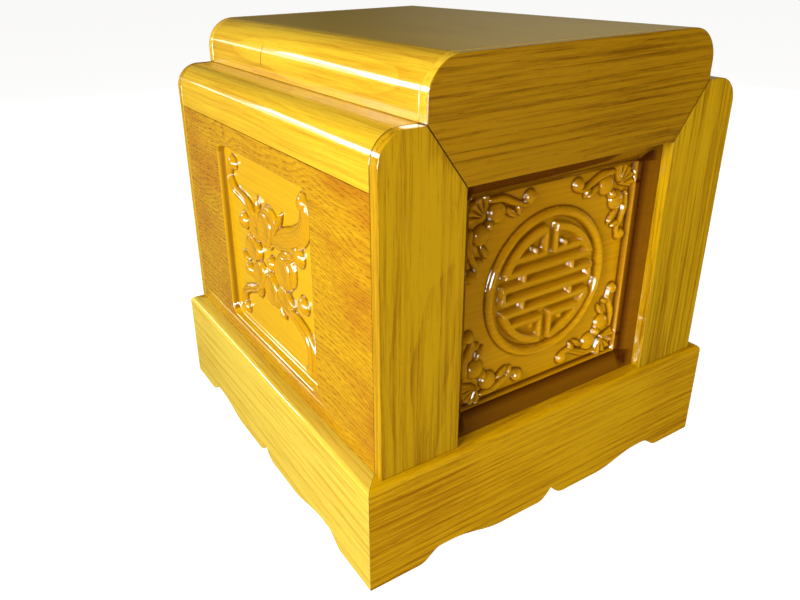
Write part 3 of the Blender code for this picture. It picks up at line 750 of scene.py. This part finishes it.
def end_boards():
    """The boards with the roundel. The front one has a spray in each corner, and the back one is plainer."""
    margin, margin_depth, field_depth, field_ease = 19.2, 9.2, 7.0, 0.4
    low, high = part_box("end_board_front")
    notch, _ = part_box("shoulder_rail_right")
    foot, _ = lid_joint()
    centre = (low.z + foot.z) / 2 - GAP
    half_u = foot.x / MM - margin
    half_v = (foot.z - low.z) / 2 / MM - margin
    ground = -low.y - (margin_depth + field_depth) * MM
    lines_u = grid_lines(half_u, high.x / MM, (notch.x - GAP) / MM, 125, half_u + margin, 112, 105,
                         half_u + 0.5)
    up = grid_lines(half_v, 115, 110, half_v + 0.5)
    lines_v = np.array([(low.z - centre) / MM, *up, half_v + margin, 123, (notch.z - centre) / MM,
                        (high.z - centre) / MM])

    def heights(u, v, sprays):
        out = np.maximum(np.abs(u) - half_u, np.abs(v) - half_v)
        carving = Carving(u, v)
        for side_u, side_v in sprays:
            corner_spray(carving, side_u, side_v, half_u, half_v)
        roundel(carving)
        margin_height = field_depth + margin_depth * np.clip(out / margin, 0, 1)
        height = np.where(out < -0.01, carving.height, margin_height)
        height = np.where(np.abs(out) < 0.01, field_depth - field_ease, height)
        # Dark-stained margin round the field.
        stain_and_shade = 0.9 * slope(out - 0.1, 0.3) * slope(margin + 2 - out, 3)
        # Painted shadow on the upper margin, under the lid's end.
        painted_shade = 0.5 * (out > 0) * (v > np.abs(u))
        # Painted shade in the hollows, weaker inside the roundel.
        hollow = 0.9 - 0.7 * slope(64 - np.hypot(u, v), 4)
        return height, {"stain_and_shade": stain_and_shade, "painted_shade": painted_shade, "hollow": hollow}

    def notched(spot):
        return abs(spot.x) > notch.x - GAP and spot.z > notch.z

    corners = ((-1, -1), (-1, 1), (1, -1), (1, 1))
    for end, turn, sprays, right in (("front", FRONT, corners, 1), ("back", BACK, (), -1)):
        work = carved_face(lines_u, lines_v, centre, ground, lambda u, v: heights(u, v, sprays))
        wood = Wood(f"{end} panel wood", "XZY", (0.2, 0.15, 0.3), colour(236, 175, 12), colour(186, 125, 3),
                    grain=0.45, gloss=0.1)
        wood.carved()
        wood.painted_shade_upper_left(right)
        carved_board(f"end_board_{end}", work, -high.y, wood.lacquered(), turn, notched)


def side_boards():
    """The boards with the flower in a sunk field with rounded corners."""
    field_u, field_v, depth, corner_round = 104.0, 100.0, 7.5, 12.0
    low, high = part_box("side_board_right")
    centre = (low.z + high.z) / 2
    lines_u = grid_lines(field_u + 1.5, high.y / MM, field_u + 30)
    lines_v = grid_lines(field_v + 1.5, (high.z - centre) / MM, field_v + 8)

    def heights(u, v):
        over_u = np.abs(u) - field_u + corner_round
        over_v = np.abs(v) - field_v + corner_round
        out = np.hypot(np.maximum(over_u, 0), np.maximum(over_v, 0)) - corner_round
        out = out + np.minimum(np.maximum(over_u, over_v), 0)
        carving = Carving(u, v)
        flower(carving)
        relief = carving.height * (out < -0.5)
        height = np.maximum(relief, depth * slope(out + 0.1, 1.2))
        # Painted shade on the field's upright walls at both ends of the board.
        stain_and_shade = 0.75 * slope(out + 1.4, 0.6) * slope(0.5 - out, 0.4) * (over_u > over_v)
        # Painted shade: the raised forms a little browner.
        painted_shade = 0.35 * slope(relief - 2.2, 3)
        field = slope(1 - out, 0.6)
        # Painted shade in the hollows of the field.
        hollow = slope(-2.5 - out, 1)
        return height, {"stain_and_shade": stain_and_shade, "painted_shade": painted_shade, "field": field, "hollow": hollow}

    for word, turn in (("left", LEFT), ("right", RIGHT)):
        work = carved_face(lines_u, lines_v, centre, high.x - depth * MM, heights)
        wood = Wood(f"{word} board wood", "YZX", (0.45, 0.3, 0.25), colour(208, 160, 8), colour(176, 120, 2),
                    gloss=0.1)
        wood.figured()
        wood.carved()
        carved_board(f"side_board_{word}", work, low.x, wood.lacquered(), turn)


# Studio

def aim(thing, spot, target):
    thing.location = spot
    thing.rotation_euler = (Vector(target) - Vector(spot)).to_track_quat("-Z", "Y").to_euler()


def softbox(name, spot, target, width, height, radiance, mirrored=True, lights=True):
    """A lit rectangle, which can fill in unseen by shiny surfaces or be only what they mirror."""
    light = bpy.data.lights.new(name, "AREA")
    light.shape = "RECTANGLE"
    light.size = width
    light.size_y = height
    light.energy = radiance * math.pi * width * height
    made = bpy.data.objects.new(name, light)
    bpy.context.scene.collection.objects.link(made)
    made.visible_camera = False
    made.visible_glossy = mirrored
    made.visible_diffuse = lights
    aim(made, spot, target)


def lights():
    """Windows on the left and far behind, with weak fills all round."""
    box = (0, 0, 0.22)
    lid = (-0.15, -0.1, 0.42)
    softbox("left softbox", (-1.7, -0.62, 0.95), box, 0.9, 0.8, 17.5, mirrored=False)
    softbox("left front window", (-1.7, -1.26, 0.3), box, 0.6, 0.6, 36, lights=False)
    softbox("left low window", (-1.9, -0.05, 0.26), box, 1.2, 0.34, 22, lights=False)
    softbox("far window", (-1.42, 2.13, 0.72), lid, 1.1, 0.1, 3)
    softbox("far pane", (-1.25, 2.0, 0.9), lid, 0.46, 0.2, 6)
    softbox("far bright pane", (-1.64, 1.94, 0.86), lid, 0.34, 0.3, 20, lights=False)
    softbox("side fill", (-2.3, 0.3, 0.5), box, 1.2, 1.0, 2.2, mirrored=False)
    softbox("front fill", (0.8, -1.75, 0.5), box, 1.6, 0.9, 1.05, mirrored=False)
    softbox("back fill", (0.3, 2.3, 0.8), box, 1.6, 1.2, 1.3, mirrored=False)
    softbox("right fill", (2.3, 0.3, 0.8), box, 1.6, 1.2, 1.3, mirrored=False)
    softbox("top fill", (-0.2, -0.4, 2.3), box, 1.4, 1.4, 2.2, mirrored=False)


def camera():
    """The photograph's camera, as solved from the box's straight edges."""
    lens = bpy.data.cameras.new("camera")
    lens.sensor_width = 36
    lens.lens = 31.94
    lens.shift_x = 0.0443
    lens.shift_y = -0.0453
    lens.clip_end = 100
    made = bpy.data.objects.new("camera", lens)
    bpy.context.scene.collection.objects.link(made)
    forward = Vector((0.4735, 0.7854, -0.3986)).normalized()
    level = forward.cross(Vector((0, 0, 1))).normalized()
    roll = math.radians(1.27)
    right = Matrix.Rotation(roll, 3, forward) @ level
    up = right.cross(forward)
    turn = Matrix((right, up, -forward)).transposed().to_4x4()
    made.matrix_world = Matrix.Translation((-0.4507, -0.6101, 0.5118)) @ turn
    bpy.context.scene.camera = made


def surroundings():
    """A pale backdrop for the camera, and a dim warm room for the lacquer to mirror."""
    world = bpy.data.worlds.new("studio")
    world.use_nodes = True
    bpy.context.scene.world = world
    nodes = Nodes(world.node_tree)
    x, y, z = nodes.place("Generated")
    towards_window = x * -0.6 + y * 0.75 - z * 0.25
    over_lid = x * 0.8 + y * 0.6
    mirrored = nodes.mix(towards_window.step(0.0, 0.55), (0.02, 0.012, 0.003, 1), (0.15, 0.115, 0.05, 1))
    mirrored = nodes.mix(towards_window.step(0.6, 1.0), mirrored, (0.3, 0.21, 0.07, 1))
    mirrored = nodes.mix(over_lid.step(0.9, 1.0), mirrored, (0.24, 0.2, 0.12, 1))
    room = nodes.node("ShaderNodeBackground", {}, {"Color": mirrored})
    backdrop = nodes.node("ShaderNodeBackground", {}, {"Color": (0.97, 0.97, 0.97, 1)})
    seen = nodes.node("ShaderNodeLightPath", {}, {}, "Is Camera Ray")
    blend = nodes.node("ShaderNodeMixShader", {}, {0: seen, 1: room, 2: backdrop})
    nodes.put(world.node_tree.nodes["World Output"].inputs["Surface"], blend)


def pale_floor():
    """A wide floor as pale as the backdrop, which the lacquer doesn't mirror."""
    pale = Finish("pale floor", 0.9)
    pale.shader.inputs["Base Color"].default_value = (0.35, 0.35, 0.35, 1)
    pale.shader.inputs["Emission Color"].default_value = (1, 1, 1, 1)
    pale.shader.inputs["Emission Strength"].default_value = 0.93
    pale.shader.inputs["Specular IOR Level"].default_value = 0
    work = bmesh.new()
    bmesh.ops.create_grid(work, x_segments=1, y_segments=1, size=20)
    mesh = bpy.data.meshes.new("floor")
    work.to_mesh(mesh)
    work.free()
    mesh.materials.append(pale.material)
    floor = bpy.data.objects.new("floor", mesh)
    bpy.context.scene.collection.objects.link(floor)
    floor.visible_glossy = False


plinth()
posts()
shoulder_rails()
lid_shell()
lid_ends()
end_boards()
side_boards()
floor_board()
bpy.context.scene.view_settings.view_transform = "Standard"
camera()
surroundings()
pale_floor()
lights()
